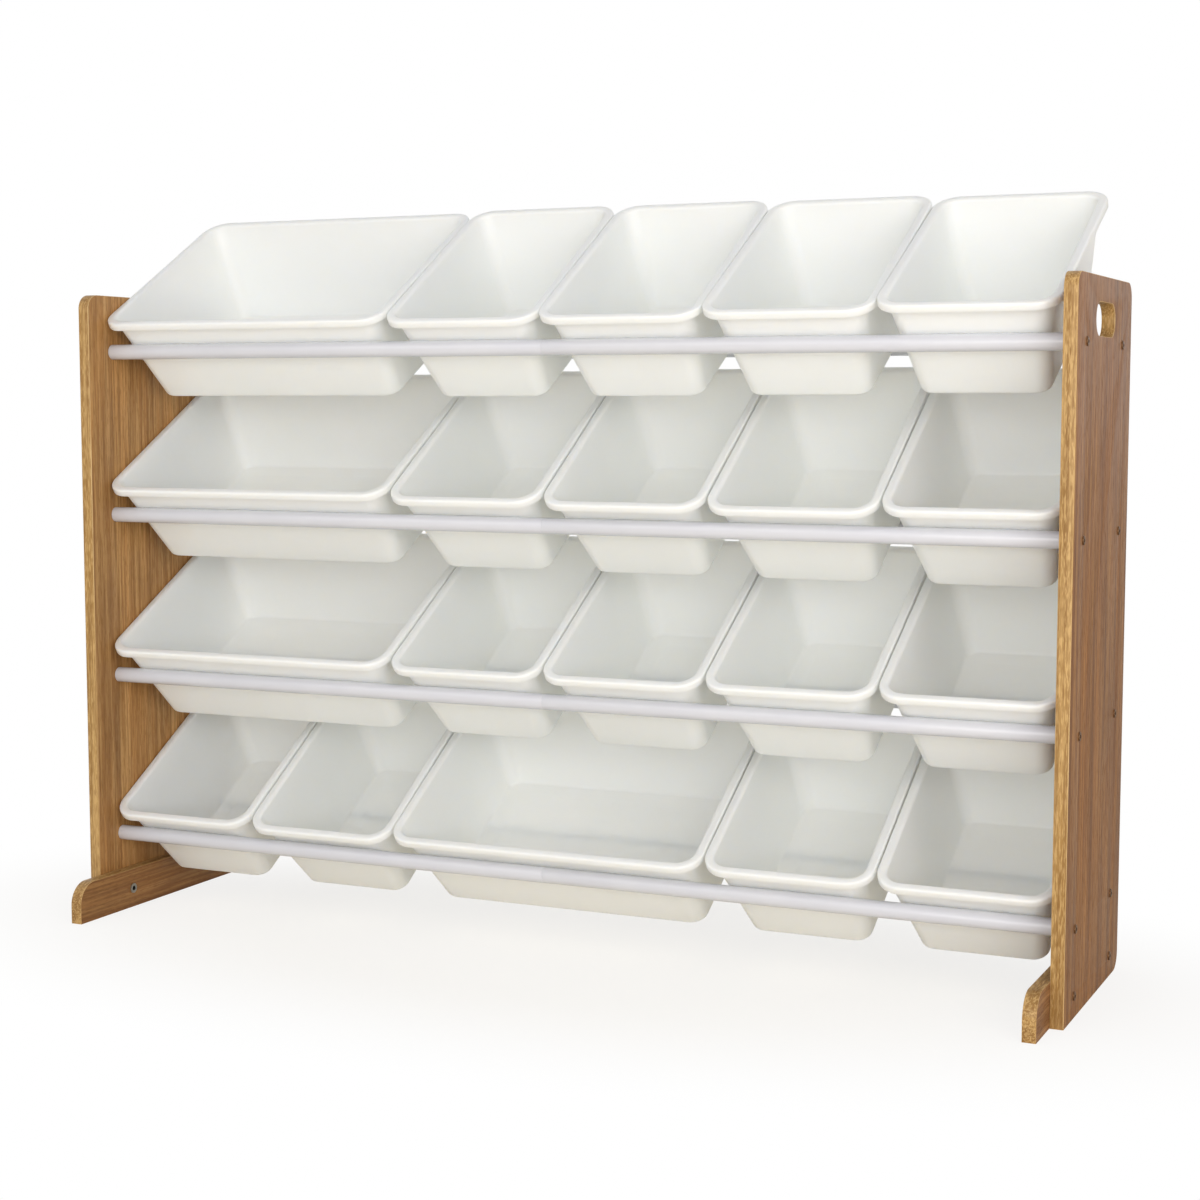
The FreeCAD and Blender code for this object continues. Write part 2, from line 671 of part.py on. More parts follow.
def moulded_bin(label, width_alias):
    body = new_body(label)
    wall_in = total((1, "rim_overhang"), (1, "bin_wall"))
    top_corner = total((1, "rim_corner_radius"), (-1, "rim_overhang"))
    inner_top_corner = total((1, "rim_corner_radius"), (-1, "rim_overhang"), (-1, "bin_wall"))
    floor_corner = total((1, "floor_corner_radius"))
    inner_floor_corner = total((1, "floor_corner_radius"), (-1, "bin_wall"))
    overhang = total((1, "rim_overhang"))
    floor_x = total((1, "rim_overhang"), (1, "side_wall_draft"))
    floor_y = total((1, "rim_overhang"), (1, "end_wall_draft"))
    inner_floor_x = total((1, "rim_overhang"), (1, "side_wall_draft"), (1, "bin_wall"))
    inner_floor_y = total((1, "rim_overhang"), (1, "end_wall_draft"), (1, "bin_wall"))
    underside = "-" + ref("bin_depth")
    floor_top = "%s - %s" % (ref("bin_wall"), ref("bin_depth"))

    # the box, with drafted walls
    low = bin_outline(body, label + "_underside", width_alias, floor_x, floor_y,
                      floor_corner, underside)
    high = bin_outline(body, label + "_mouth", width_alias, overhang, overhang, top_corner, None)
    loft(body, "PartDesign::AdditiveLoft", label + "_box", low, high)
    low = bin_outline(body, label + "_floor", width_alias, inner_floor_x, inner_floor_y,
                      inner_floor_corner, floor_top)
    high = bin_outline(body, label + "_inner_mouth", width_alias, wall_in, wall_in,
                       inner_top_corner, None)
    loft(body, "PartDesign::SubtractiveLoft", label + "_hollow", low, high)

    # rounded edges round the floor, outside and inside
    outer_level = -size("bin_depth")
    ease(body, label + "_outer_edge", level_edges(outer_level), ref("floor_edge_radius"))
    inner_level = outer_level + size("bin_wall")
    ease(body, label + "_inner_edge", level_edges(inner_level),
         "%s - %s" % (ref("floor_edge_radius"), ref("bin_wall")))

    # rim: a flat flange round the mouth, then a lip that turns down along its outer edge
    zero = (0.0, "0")
    rim_corner = total((1, "rim_corner_radius"))
    flange = bin_outline(body, label + "_flange", width_alias, zero, zero, rim_corner, None)
    add_inner_outline(flange, width_alias, wall_in, inner_top_corner)
    pad(body, label + "_flange_pad", flange, ref("rim_thickness"), reverse=True)
    lip = bin_outline(body, label + "_lip", width_alias, zero, zero, rim_corner, None)
    lip_in = total((1, "rim_thickness"))
    lip_corner = total((1, "rim_corner_radius"), (-1, "rim_thickness"))
    add_inner_outline(lip, width_alias, lip_in, lip_corner)
    pad(body, label + "_lip_pad", lip, ref("lip_height"), reverse=True)
    half = size(width_alias) / 2
    length = size("bin_length")
    deepest_corner = corner_depth(size("rim_corner_radius"))

    def outer_top_edge(edge):
        box = edge.BoundBox
        if box.ZLength > TOUCH or abs(box.ZMax) > TOUCH:
            return False
        middle = edge.valueAt((edge.FirstParameter + edge.LastParameter) / 2)
        from_side = half - abs(middle.x)
        from_end = min(middle.y, length - middle.y)
        return min(from_side, from_end) < TOUCH or max(from_side, from_end) < deepest_corner

    ease(body, label + "_rim_edge", outer_top_edge, ref("rim_edge_radius"))
    return body


def add_inner_outline(sketch, width_alias, inset, corner):
    """The hole of a ring, inside an outline that is already in the sketch."""
    half = size(width_alias) / 2 - inset[0]
    half_at = "(%s / 2 - %s)" % (ref(width_alias), inset[1])
    rounded_rectangle(
        sketch,
        ((-half, "-" + half_at), (half, half_at), inset,
         (size("bin_length") - inset[0], "%s - %s" % (ref("bin_length"), inset[1]))),
        (corner, corner, corner, corner), centred=True)


def seat(body, centre, row, lean):
    """Lay a bin on its rear rod and against its front rod."""
    tilt = tilt_of(lean)
    reach, rise = front_rod_in_bin(lean)
    body.Placement = FreeCAD.Placement(
        FreeCAD.Vector(), FreeCAD.Rotation(FreeCAD.Vector(1, 0, 0), 0))
    body.setExpression("Placement.Rotation.Angle", tilt)
    place(body, centre,
          "%s - %s * cos(%s) + %s * sin(%s)" % (ROD_PLACE["front"], reach, tilt, rise, tilt),
          "%s - %s * sin(%s) - %s * cos(%s)" % (rod_height(row), reach, tilt, rise, tilt))


def fill_row(row):
    """Stand a row's bins side by side, from left to right."""
    gap_alias, bins = ROWS[row]
    passed = {"small": 0, "large": 0}
    for number, (kind, lean) in enumerate(bins):
        width_alias = kind + "_bin_width"
        centre = "-%s / 2 + %d * %s + %d * %s + %s * %s + %s / 2" % (
            INNER_WIDTH,
            passed["small"], ref("small_bin_width"),
            passed["large"], ref("large_bin_width"),
            number + 0.5, ref(gap_alias),
            ref(width_alias))
        label = "%s_bin_row%d_place%d" % (kind, row + 1, number + 1)
        body = moulded_bin(label, width_alias)
        seat(body, centre, row, lean)
        passed[kind] += 1
        nodes.append(body)


for row in range(ROW_COUNT):
    fill_row(row)


# ---------------------------------------------------------------------------------------------
# Check every object, then write one file for each piece
# ---------------------------------------------------------------------------------------------
doc.recompute()
for thing in doc.Objects:
    if "Invalid" in thing.State or "Error" in thing.State:
        raise RuntimeError("%s failed: %s" % (thing.Label, thing.State))
for node in nodes:
    if node.Shape.isNull() or not node.Shape.isValid():
        raise RuntimeError("%s has no valid shape" % node.Label)

os.makedirs("parts", exist_ok=True)
for node in nodes:
    node.Shape.exportStep(os.path.join("parts", node.Label + ".step"))
print("%d pieces" % len(nodes))
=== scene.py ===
import math

import bmesh
import bpy
from mathutils import Matrix, Vector


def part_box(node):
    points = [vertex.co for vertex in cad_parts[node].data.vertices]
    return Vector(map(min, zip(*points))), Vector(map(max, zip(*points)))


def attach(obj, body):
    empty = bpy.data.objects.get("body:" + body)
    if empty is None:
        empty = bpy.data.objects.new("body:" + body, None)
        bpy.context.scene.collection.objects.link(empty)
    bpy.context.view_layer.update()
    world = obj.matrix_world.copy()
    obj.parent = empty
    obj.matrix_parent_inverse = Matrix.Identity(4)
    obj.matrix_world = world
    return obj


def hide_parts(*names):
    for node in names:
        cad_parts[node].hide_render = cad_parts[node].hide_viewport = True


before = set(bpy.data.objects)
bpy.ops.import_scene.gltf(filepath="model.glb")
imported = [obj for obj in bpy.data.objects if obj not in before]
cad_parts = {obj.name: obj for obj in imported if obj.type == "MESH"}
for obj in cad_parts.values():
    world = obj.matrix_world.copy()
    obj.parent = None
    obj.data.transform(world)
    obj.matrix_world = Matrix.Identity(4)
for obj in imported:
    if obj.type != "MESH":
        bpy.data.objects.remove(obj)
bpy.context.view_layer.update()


# ---- Side panels ------------------------------------------------------------------------------
# Two upright particle boards, faced with printed wood-grain melamine.  A paler band is ironed on
# round their edges, and its arrises are eased, which bares a thin light line.  Each has a slot to
# lift the organizer by, and a hole for every rod and foot bolt.
MM = 0.001
BOARD_EASE = 1.0 * MM
BOARD_CORNER_STEPS = 12
PANEL_TOP_RADIUS = 18 * MM
PANEL_HEEL_RADIUS = 20 * MM
SLOT_LENGTH = 98 * MM
SLOT_HEIGHT = 36 * MM
SLOT_END_RADIUS = 17.95 * MM  # a hair under half the height, so that the two arcs stay apart
SLOT_DROP = 45.5 * MM
BOLT_HOLE_RADIUS = 3.3 * MM
DRILL_OVERRUN = 2 * MM
HOLE_SIDES = 24
SMOOTH_ANGLE = math.radians(30)
ROWS = (1, 2, 3, 4)


def linear(hex_colour):
    """The linear colour, with alpha, of an sRGB hex colour."""
    channels = []
    for start in (1, 3, 5):
        value = int(hex_colour[start:start + 2], 16) / 255
        channels.append(value / 12.92 if value <= 0.04045 else ((value + 0.055) / 1.055) ** 2.4)
    return (*channels, 1.0)


def add_node(material, kind, settings=None, values=None, links=None):
    """Adds a node to a material, with its settings, its socket values and what feeds it."""
    tree = material.node_tree
    node = tree.nodes.new(kind)
    for name, value in (settings or {}).items():
        setattr(node, name, value)
    for socket, value in (values or {}).items():
        node.inputs[socket].default_value = value
    for socket, (source, output) in (links or {}).items():
        tree.links.new(source.outputs[output], node.inputs[socket])
    return node


def new_material(name):
    """A material with node shading, and its shader."""
    material = bpy.data.materials.new(name)
    material.use_nodes = True
    return material, material.node_tree.nodes["Principled BSDF"]


def wood_print(name, base, dark, light, along, start, dashes=0.12):
    """Printed melamine: satin, with broad figure, long streaks, short dashes and dark pores.

    along is the axis that the grain follows, 0 to 2; start moves the pattern from board to board;
    dashes says how strong the short light dashes are.
    """
    material, shader = new_material(name)
    tree = material.node_tree
    place = add_node(material, "ShaderNodeTexCoord")
    tone = None
    # each layer's marks: how wide and how long in mm, where in the noise they begin and are full,
    # their colour and how strong they are; the real pores are 1 mm wide, too fine to show, and
    # are drawn about twice as wide
    for width, length, begin, full, colour, strength in (
            (34, 420, 0.28, 0.62, base, 1.0),
            (9, 300, 0.44, 0.60, light, 0.45),
            (5, 220, 0.50, 0.62, dark, 0.45),
            (1.8, 13, 0.46, 0.58, light, dashes),
            (2.6, 110, 0.48, 0.60, dark, 0.5),
            (1.8, 14, 0.54, 0.64, dark, 0.4)):
        scale = [1 / (width * MM)] * 3
        scale[along] = 1 / (length * MM)
        mapping = add_node(material, "ShaderNodeMapping",
                           values={"Location": start, "Scale": scale},
                           links={"Vector": (place, "Object")})
        noise = add_node(material, "ShaderNodeTexNoise",
                         values={"Scale": 1.0, "Detail": 2.0},
                         links={"Vector": (mapping, "Vector")})
        marks = add_node(material, "ShaderNodeMapRange",
                         values={"From Min": begin, "From Max": full, "To Max": strength},
                         links={"Value": (noise, "Fac")})
        layer = add_node(material, "ShaderNodeMix", {"data_type": "RGBA"},
                         {6: linear(dark), 7: linear(colour)}, {0: (marks, "Result")})
        if tone:
            tree.links.new(tone.outputs[2], layer.inputs[6])
        tone = layer
    tree.links.new(tone.outputs[2], shader.inputs["Base Color"])

    # the press plate leaves the pores, which are the last layer, a little deeper and duller
    roughness = add_node(material, "ShaderNodeMapRange",
                         values={"To Min": 0.44, "To Max": 0.8}, links={"Value": (marks, "Result")})
    tree.links.new(roughness.outputs["Result"], shader.inputs["Roughness"])
    bump = add_node(material, "ShaderNodeBump", {"invert": True},
                    {"Strength": 0.35, "Distance": 0.08 * MM}, {"Height": (marks, "Result")})
    tree.links.new(bump.outputs["Normal"], shader.inputs["Normal"])
    shader.inputs["Specular IOR Level"].default_value = 0.3
    return material


def pick(kind, chosen):
    """In edit mode, selects the vertices, edges or faces that chosen() accepts, and no others."""
    bpy.ops.mesh.select_mode(type=kind)
    bpy.ops.mesh.select_all(action="DESELECT")
    mesh = bmesh.from_edit_mesh(bpy.context.object.data)
    parts = {"VERT": mesh.verts, "EDGE": mesh.edges, "FACE": mesh.faces}[kind]
    for part in parts:
        if chosen(part):
            part.select_set(True)
    mesh.select_flush_mode()
    bmesh.update_edit_mesh(bpy.context.object.data)


def middle(edge):
    """The point halfway along an edge."""
    return (edge.verts[0].co + edge.verts[1].co) / 2


def saw_board(name, low, high, corners):
    """A board that fills the space between two points, with rounded corners.

    corners holds (y side, z side, radius), where a side is -1 for front or bottom, 1 for the other.
    """
    bpy.ops.object.select_all(action="DESELECT")
    bpy.ops.mesh.primitive_cube_add(size=1.0, enter_editmode=True)
    board = bpy.context.object
    board.name = name
    centre, half = (high + low) / 2, (high - low) / 2
    bpy.ops.transform.resize(value=high - low)
    bpy.ops.transform.translate(value=centre)
    for y_side, z_side, radius in corners:
        def at_corner(edge):
            runs_through = abs(edge.verts[1].co.x - edge.verts[0].co.x) > MM
            away = middle(edge) - centre
            return (runs_through and away.y * y_side > half.y - radius / 2
                    and away.z * z_side > half.z - radius / 2)

        pick("EDGE", at_corner)
        bpy.ops.mesh.bevel(offset=radius, segments=BOARD_CORNER_STEPS, affect="EDGES")
    bpy.ops.object.mode_set(mode="OBJECT")
    return board


def drill(board, cutter):
    """Takes the cutter's shape out of a board, and throws the cutter away."""
    bpy.ops.object.select_all(action="DESELECT")
    board.select_set(True)
    bpy.context.view_layer.objects.active = board
    bpy.ops.object.modifier_add(type="BOOLEAN")
    cut = board.modifiers[-1]
    cut.operation = "DIFFERENCE"
    cut.solver = "EXACT"
    cut.object = cutter
    bpy.ops.object.modifier_apply(modifier=cut.name)
    bpy.data.objects.remove(cutter)


def face_board(board, face, band, arris):
    """Lays the print on both faces, the band round the edges, and bares the arrises."""
    for material in (face, band, arris):
        board.data.materials.append(material)
    for polygon in board.data.polygons:
        faces_sideways = abs(polygon.normal.x) > 0.7
        polygon.material_index = 0 if faces_sideways else 1
    bpy.ops.object.select_all(action="DESELECT")
    board.select_set(True)
    bpy.context.view_layer.objects.active = board
    bpy.ops.object.modifier_add(type="BEVEL")
    easing = board.modifiers[-1]
    easing.width = BOARD_EASE
    easing.segments = 3
    easing.limit_method = "ANGLE"
    easing.angle_limit = math.radians(50)
    easing.material = 2
    bpy.ops.object.modifier_apply(modifier=easing.name)
    bpy.ops.object.shade_smooth_by_angle(angle=SMOOTH_ANGLE)


def round_bar(radius, length, centre, sides):
    """A cylinder that lies along X, with its place in its mesh."""
    bpy.ops.object.select_all(action="DESELECT")
    bpy.ops.mesh.primitive_cylinder_add(
        vertices=sides, radius=radius, depth=length, enter_editmode=True)
    bpy.ops.transform.rotate(
        value=math.pi / 2, orient_axis="Y", center_override=(0.0, 0.0, 0.0))
    bpy.ops.transform.translate(value=centre)
    bpy.ops.object.mode_set(mode="OBJECT")
    return bpy.context.object


def join(pieces):
    """Joins pieces into the first of them."""
    bpy.ops.object.select_all(action="DESELECT")
    for piece in pieces:
        piece.select_set(True)
    bpy.context.view_layer.objects.active = pieces[0]
    bpy.ops.object.join()
    return pieces[0]


def bolt_places(side):
    """Where the bolts of one side go through its panel: those of the rods, then of the foot."""
    rods = []
    for row in ROWS:
        for slat in ("front", "rear"):
            low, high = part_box("%s_rod_row%d_%s" % (slat, row, side))
            rods.append(((low.y + high.y) / 2, (low.z + high.z) / 2))
    low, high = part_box("foot_sleeves_" + side)
    level = (low.z + high.z) / 2
    foot = [(rods[0][0], level), (rods[1][0], level)]
    return rods, foot


# the band's print is paler and shorter in grain than the faces'; the arris bares its pale core
band_colours = ("#ae874e", "#835e31", "#d0ac74")
upright_band = wood_print("ironed_edge_band_upright", *band_colours, 2, (3.1, 0.7, 0.2), 0.65)
bare_arris = wood_print("eased_arris", "#c9a46c", "#ac8553", "#dcc194", 2, (0.4, 2.2, 1.0))
# the two faces that show get lit and shaded copies of one print, painted light and shade for
# how each face takes the light: the left copy is lighter and more golden, the right one darker
lit_and_shaded_panel_prints = {
    "left": wood_print("wood_print_melamine_left", "#b78650", "#7e562d", "#d2a86f",
                       2, (0.0, 5.3, 1.7)),
    "right": wood_print("wood_print_melamine_right", "#9a6531", "#663d1b", "#b7854c",
                        2, (7.7, 1.9, 0.4)),
}

for side in ("left", "right"):
    low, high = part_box(side + "_side_panel")
    panel = saw_board(side + "_panel_board", low, high, (
        (-1, 1, PANEL_TOP_RADIUS), (1, 1, PANEL_TOP_RADIUS), (1, -1, PANEL_HEEL_RADIUS)))
    centre = (low + high) / 2
    through = high.x - low.x + 2 * DRILL_OVERRUN
    slot_centre = Vector((centre.x, centre.y, high.z - SLOT_DROP))
    half_slot = Vector((through, SLOT_LENGTH, SLOT_HEIGHT)) / 2
    cutter = saw_board("slot_cutter", slot_centre - half_slot, slot_centre + half_slot, [
        (y_side, z_side, SLOT_END_RADIUS) for z_side in (1, -1) for y_side in (-1, 1)])
    rod_places, foot_places = bolt_places(side)
    drills = [round_bar(BOLT_HOLE_RADIUS, through, (centre.x, y, z), HOLE_SIDES)
              for y, z in rod_places + foot_places]
    drill(panel, join([cutter] + drills))
    face_board(panel, lit_and_shaded_panel_prints[side], upright_band, bare_arris)
    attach(panel, "frame")
    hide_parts(side + "_side_panel")


# ---- Feet -------------------------------------------------------------------------------------
# Low boards of the same stuff, bolted inside the panels so that the rack can't tip forward.
# Their grain lies lengthwise, and both upper corners are well rounded.
FOOT_NOSE_RADIUS = 27 * MM
SLEEVE_HOLE_RADIUS = 4.6 * MM

level_band = wood_print("ironed_edge_band_level", *band_colours, 1, (1.3, 4.0, 2.6), 0.65)
# each foot gets its own copy of the print: the left one's is painted darker than the left panel's,
# as painted shade at floor level, and the right one's is near the right panel's shaded copy
shade_painted_foot_prints = {
    "left": wood_print("wood_print_melamine_left_foot", "#98693c", "#6c4524", "#ae8450",
                       1, (2.0, 0.3, 3.9)),
    "right": wood_print("wood_print_melamine_right_foot", "#9a6c43", "#6c462a", "#b78b5c",
                        1, (6.1, 2.4, 0.9)),
}

for side in ("left", "right"):
    low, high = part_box(side + "_foot")
    foot = saw_board(side + "_foot_board", low, high, (
        (-1, 1, FOOT_NOSE_RADIUS), (1, 1, FOOT_NOSE_RADIUS)))
    through = high.x - low.x + 2 * DRILL_OVERRUN
    drills = [round_bar(SLEEVE_HOLE_RADIUS, through, ((low.x + high.x) / 2, y, z), HOLE_SIDES)
              for y, z in bolt_places(side)[1]]
    drill(foot, join(drills))
    face_board(foot, shade_painted_foot_prints[side], level_band, bare_arris)
    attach(foot, "frame")
    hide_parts(side + "_foot")


# ---- Cross rods -------------------------------------------------------------------------------
# Steel tube with a white powder coat that leans to lilac.  Each line is two tubes that butt at
# mid-span over a hidden dowel; moulded plugs take the bolts at the outer ends.
ROD_END_EASE = 0.5 * MM
ROD_SIDES = 64


def another(model, name, placing):
    """A copy of a model, with its own mesh, moved and turned by a matrix."""
    piece = model.copy()
    piece.data = model.data.copy()
    piece.name = name
    piece.data.transform(placing)
    bpy.context.scene.collection.objects.link(piece)
    return piece


def powder_coat(name, colour, shade):
    """Baked powder coat: a hard smooth gloss with a faint orange peel of 1.5 mm grain.

    The coat's thickness drifts over a hand's width, which shows as two near tones.
    """
    material, shader = new_material(name)
    place = add_node(material, "ShaderNodeTexCoord")
    peel = add_node(material, "ShaderNodeTexNoise", values={"Scale": 1 / (1.5 * MM), "Detail": 2.0},
                    links={"Vector": (place, "Object")})
    cloud = add_node(material, "ShaderNodeTexNoise", values={"Scale": 1 / (60 * MM), "Detail": 2.0},
                     links={"Vector": (place, "Object")})
    tint = add_node(material, "ShaderNodeMix", {"data_type": "RGBA"},
                    {6: linear(colour), 7: linear(shade)}, {0: (cloud, "Fac")})
    bump = add_node(material, "ShaderNodeBump", values={"Strength": 0.15, "Distance": 0.02 * MM},
                    links={"Height": (peel, "Fac")})
    tree = material.node_tree
    tree.links.new(tint.outputs[2], shader.inputs["Base Color"])
    tree.links.new(bump.outputs["Normal"], shader.inputs["Normal"])
    shader.inputs["Roughness"].default_value = 0.18
    shader.inputs["IOR"].default_value = 1.5
    return material


rod_coat = powder_coat("white_powder_coated_steel", "#cccdd7", "#d6d7de")
low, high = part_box("front_rod_row1_left")
tube = round_bar((high.z - low.z) / 2, high.x - low.x, (0.0, 0.0, 0.0), ROD_SIDES)
bpy.ops.object.mode_set(mode="EDIT")
pick("EDGE", lambda edge: abs(edge.verts[0].co.x - edge.verts[1].co.x) < MM)
bpy.ops.mesh.bevel(offset=ROD_END_EASE, segments=3, affect="EDGES")
bpy.ops.object.mode_set(mode="OBJECT")
bpy.ops.object.shade_smooth_by_angle(angle=SMOOTH_ANGLE)
tube.data.materials.append(rod_coat)

for row in ROWS:
    for slat in ("front", "rear"):
        for side in ("left", "right"):
            node = "%s_rod_row%d_%s" % (slat, row, side)
            low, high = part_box(node)
            rod = another(tube, node.replace("_rod_", "_tube_"),
                          Matrix.Translation((low + high) / 2))
            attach(rod, "frame")
            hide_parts(node)
bpy.data.objects.remove(tube)


# ---- What holds the rods and feet -------------------------------------------------------------
# Socket screws of steel, bronzed to go with the boards, pass the panels into nylon plugs in
# the tube ends and into zinc-plated sleeves in the feet.  Turned pine dowels line up the tubes.
HEAD_RADIUS = 5.0 * MM
HEAD_HEIGHT = 1.5 * MM
HEAD_CROWN = 1.2 * MM
SOCKET_RADIUS = 2.2 * MM
SOCKET_DEPTH = 1.1 * MM
SOCKET_SIDES = 6
SHANK_RADIUS = 3 * MM
HEAD_SIDES = 32
SHANK_SIDES = 24


def plain_stuff(name, colour, shade, grain, roughness, metallic):
    """One plain stuff whose tone, gloss and level vary a little over a grain given in metres."""
    material, shader = new_material(name)
    place = add_node(material, "ShaderNodeTexCoord")
    cloud = add_node(material, "ShaderNodeTexNoise", values={"Scale": 1 / grain, "Detail": 3.0},
                     links={"Vector": (place, "Object")})
    tint = add_node(material, "ShaderNodeMix", {"data_type": "RGBA"},
                    {6: linear(colour), 7: linear(shade)}, {0: (cloud, "Fac")})
    spread = 0.06
    gloss = add_node(material, "ShaderNodeMapRange",
                     values={"To Min": roughness - spread, "To Max": roughness + spread},
                     links={"Value": (cloud, "Fac")})
    bump = add_node(material, "ShaderNodeBump", values={"Strength": 0.2, "Distance": 0.03 * MM},
                    links={"Height": (cloud, "Fac")})
    tree = material.node_tree
    tree.links.new(tint.outputs[2], shader.inputs["Base Color"])
    tree.links.new(gloss.outputs["Result"], shader.inputs["Roughness"])
    tree.links.new(bump.outputs["Normal"], shader.inputs["Normal"])
    shader.inputs["Metallic"].default_value = metallic
    return material


def socket_screw(length, metal):
    """A screw that points along X: its head stands on x = 0, its shank reaches back from there."""
    head = round_bar(HEAD_RADIUS, HEAD_HEIGHT, (HEAD_HEIGHT / 2, 0.0, 0.0), HEAD_SIDES)
    bpy.ops.object.mode_set(mode="EDIT")
    pick("EDGE", lambda edge: all(vertex.co.x > HEAD_HEIGHT / 2 for vertex in edge.verts))
    bpy.ops.mesh.bevel(offset=HEAD_CROWN, segments=5, affect="EDGES")
    bpy.ops.object.mode_set(mode="OBJECT")
    drill(head, round_bar(SOCKET_RADIUS, 2 * SOCKET_DEPTH, (HEAD_HEIGHT, 0.0, 0.0), SOCKET_SIDES))
    shank = round_bar(SHANK_RADIUS, length, (-length / 2, 0.0, 0.0), SHANK_SIDES)
    screw = join([head, shank])
    bpy.ops.object.shade_smooth_by_angle(angle=SMOOTH_ANGLE)
    screw.data.materials.append(metal)
    return screw


# bronzed steel: brown with a soft dull shine, darker where the bath took better
bronzed_steel = plain_stuff("bronzed_steel", "#7d5b3c", "#4b3422", 2.5 * MM, 0.4, 0.7)
# bright zinc: cold grey, with a spangle of a few millimetres
zinc = plain_stuff("zinc_plated_steel", "#b9bab8", "#8f9190", 3.0 * MM, 0.32, 1.0)
# nylon: off-white and matt
nylon = plain_stuff("moulded_nylon", "#dcdad2", "#cfccc2", 4.0 * MM, 0.5, 0.0)
# bare turned pine: pale, its grain along the dowel
pine = wood_print("turned_pine", "#c9a06c", "#a87f4e", "#d8b78a", 0, (0.0, 0.0, 0.0))

outer_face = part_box("right_side_panel")[1].x
for kind, node_kind in enumerate(("rod_bolts_", "foot_bolts_")):
    screw = socket_screw(outer_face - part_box(node_kind + "right")[0].x, bronzed_steel)
    for side, turn in (("left", math.pi), ("right", 0.0)):
        set_of_screws = join([
            another(screw, "screw", Matrix.Rotation(turn, 4, "Z")
                    @ Matrix.Translation((outer_face, y * math.cos(turn), z)))
            for y, z in bolt_places(side)[kind]])
        set_of_screws.name = node_kind.replace("bolts", "screws") + side
        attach(set_of_screws, "frame")
        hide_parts(node_kind + side)
    bpy.data.objects.remove(screw)

# the sleeves, plugs and dowels keep their CAD shapes

for side in ("left", "right"):
    for node, stuff in (("foot_sleeves_" + side, zinc), ("rod_end_plugs_" + side, nylon)):
        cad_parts[node].data.materials.clear()
        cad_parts[node].data.materials.append(stuff)
for row in ROWS:
    for slat in ("front", "rear"):
        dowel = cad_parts["%s_rod_dowel_row%d" % (slat, row)]
        dowel.data.materials.clear()
        dowel.data.materials.append(pine)


# ---- Bins -------------------------------------------------------------------------------------
# Injection-moulded polypropylene, off-white and slightly translucent.  The walls lean out to a
# broad flat rim that turns down in a lip; a shallow panel is sunk in the floor round the gate.
WALL = 2.0 * MM
RIM_WIDTH = 10.8 * MM
RIM_CORNER_RADIUS = 30 * MM
LIP_HEIGHT = 9 * MM
FLOOR_INSET_X = 30.1 * MM
FLOOR_INSET_Y = 38.2 * MM
MOUTH_ROUNDING = 3.5 * MM
RIM_ROUNDING = 2.4 * MM
FLOOR_ROUNDING = 3.0 * MM
FLOOR_PANEL_INSET = 18 * MM
FLOOR_PANEL_STEP = 1.2 * MM
FLOOR_PANEL_DROP = 0.4 * MM
LIP_EDGE = 0.5 * MM
RIM_CORNER_STEPS = 10
TURN_STEPS = 4
WALL_RINGS = 3


def own_place(node):
    """How a bin lies: its tilt about X, then its own box once it is turned level.

    The widest flat that faces up lies along the floor, so its normal gives the tilt.
    """
    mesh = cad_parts[node].data
    flats = [polygon for polygon in mesh.polygons if polygon.normal.z > 0.8]
    normal = max(flats, key=lambda polygon: polygon.area).normal
    tilt = math.atan2(-normal.y, normal.z)
    level = Matrix.Rotation(-tilt, 4, "X")
    points = [level @ vertex.co for vertex in mesh.vertices]
    low = Vector([min(point[axis] for point in points) for axis in range(3)])
    high = Vector([max(point[axis] for point in points) for axis in range(3)])
    return tilt, low, high


